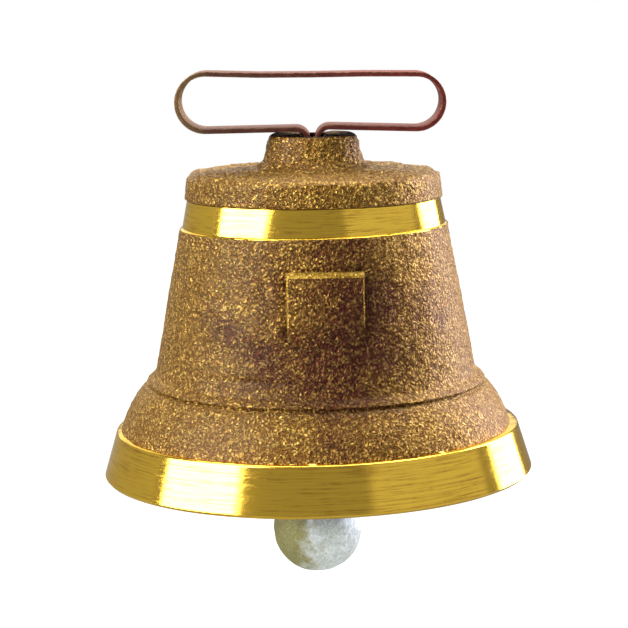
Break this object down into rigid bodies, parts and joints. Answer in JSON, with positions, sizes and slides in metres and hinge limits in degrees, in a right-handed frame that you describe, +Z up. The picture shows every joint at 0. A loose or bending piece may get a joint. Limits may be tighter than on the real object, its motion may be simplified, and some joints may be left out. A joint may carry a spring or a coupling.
{
  "type": "cattle bell",
  "caption": "Cast bell with turned bands on a bent strap loop for a wide collar, with a ball clapper hung on a pinned link inside.",
  "frame": {"origin": "middle of the strap loop's upper bearing face, the underside of its top run, where the bell hangs on a collar", "axes": "+X along the loop, across the collar's width, to the right seen from the front; +Y along the collar, to the rear; +Z up, along the casting's axis"},
  "size_m": [0.1032, 0.1032, 0.1211],
  "materials": {
    "cast_bronze": "rough sand casting, with two bright turned bands",
    "brown_strap": "brown lacquered strip steel, satin",
    "plain_steel": "drawn and forged steel, dull",
    "zinc_plate": "zinc plated, mottled"
  },
  "bodies": {
    "hanger": {"strap_loop": "brown_strap", "cross_pin": "plain_steel", "pin_washers": "zinc_plate", "split_pin": "zinc_plate"},
    "bell": {"bell_casting": "cast_bronze"},
    "link": {"clapper_link": "plain_steel"},
    "clapper": {"clapper_rod": "plain_steel", "clapper_ball": "zinc_plate"}
  },
  "joints": [
    {"name": "bell_lift", "type": "slide", "parent": "hanger", "child": "bell", "axis": [0, 0, 1], "range_m": [0, 0.0005]},
    {"name": "clapper_swing", "type": "hinge", "parent": "hanger", "child": "link", "pos_m": [0, 0, -0.0372], "axis": [1, 0, 0], "range_deg": [-29, 29]},
    {"name": "clapper_sway", "type": "hinge", "parent": "link", "child": "clapper", "pos_m": [0, 0, -0.0477], "axis": [0, 1, 0], "range_deg": [-8, 8]}
  ]
}
